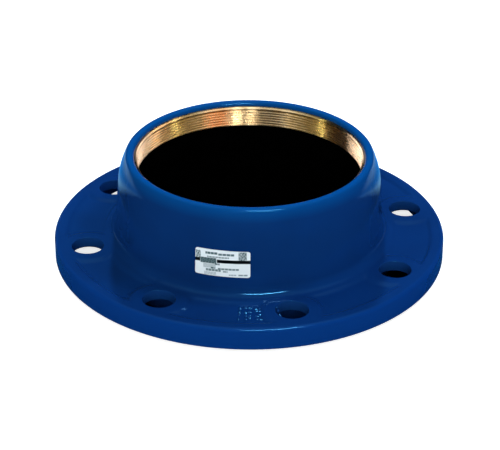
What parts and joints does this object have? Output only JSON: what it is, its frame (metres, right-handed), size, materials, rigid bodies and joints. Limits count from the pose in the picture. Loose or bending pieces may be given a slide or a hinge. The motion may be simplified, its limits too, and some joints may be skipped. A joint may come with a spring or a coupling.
{
  "type": "flange adapter",
  "caption": "Restrained flange adapter: bolts a plain plastic pipe end to a standard flange, with a split grip ring and a rubber seal in its socket.",
  "frame": {"origin": "centre of the raised face that the adapter stands on", "axes": "+Z along the pipe's axis, out of the socket's mouth; +X and +Y run midway between bolt holes, and the grip ring's saw cut is at +X"},
  "size_m": [0.285, 0.285, 0.081],
  "materials": {
    "coated_iron": "gloss",
    "brass": "satin",
    "rubber": "satin",
    "label_film": "satin"
  },
  "bodies": {
    "root": {"flange_body": "coated_iron", "grip_ring": "brass", "gasket": "rubber", "label": "label_film"}
  },
  "joints": []
}
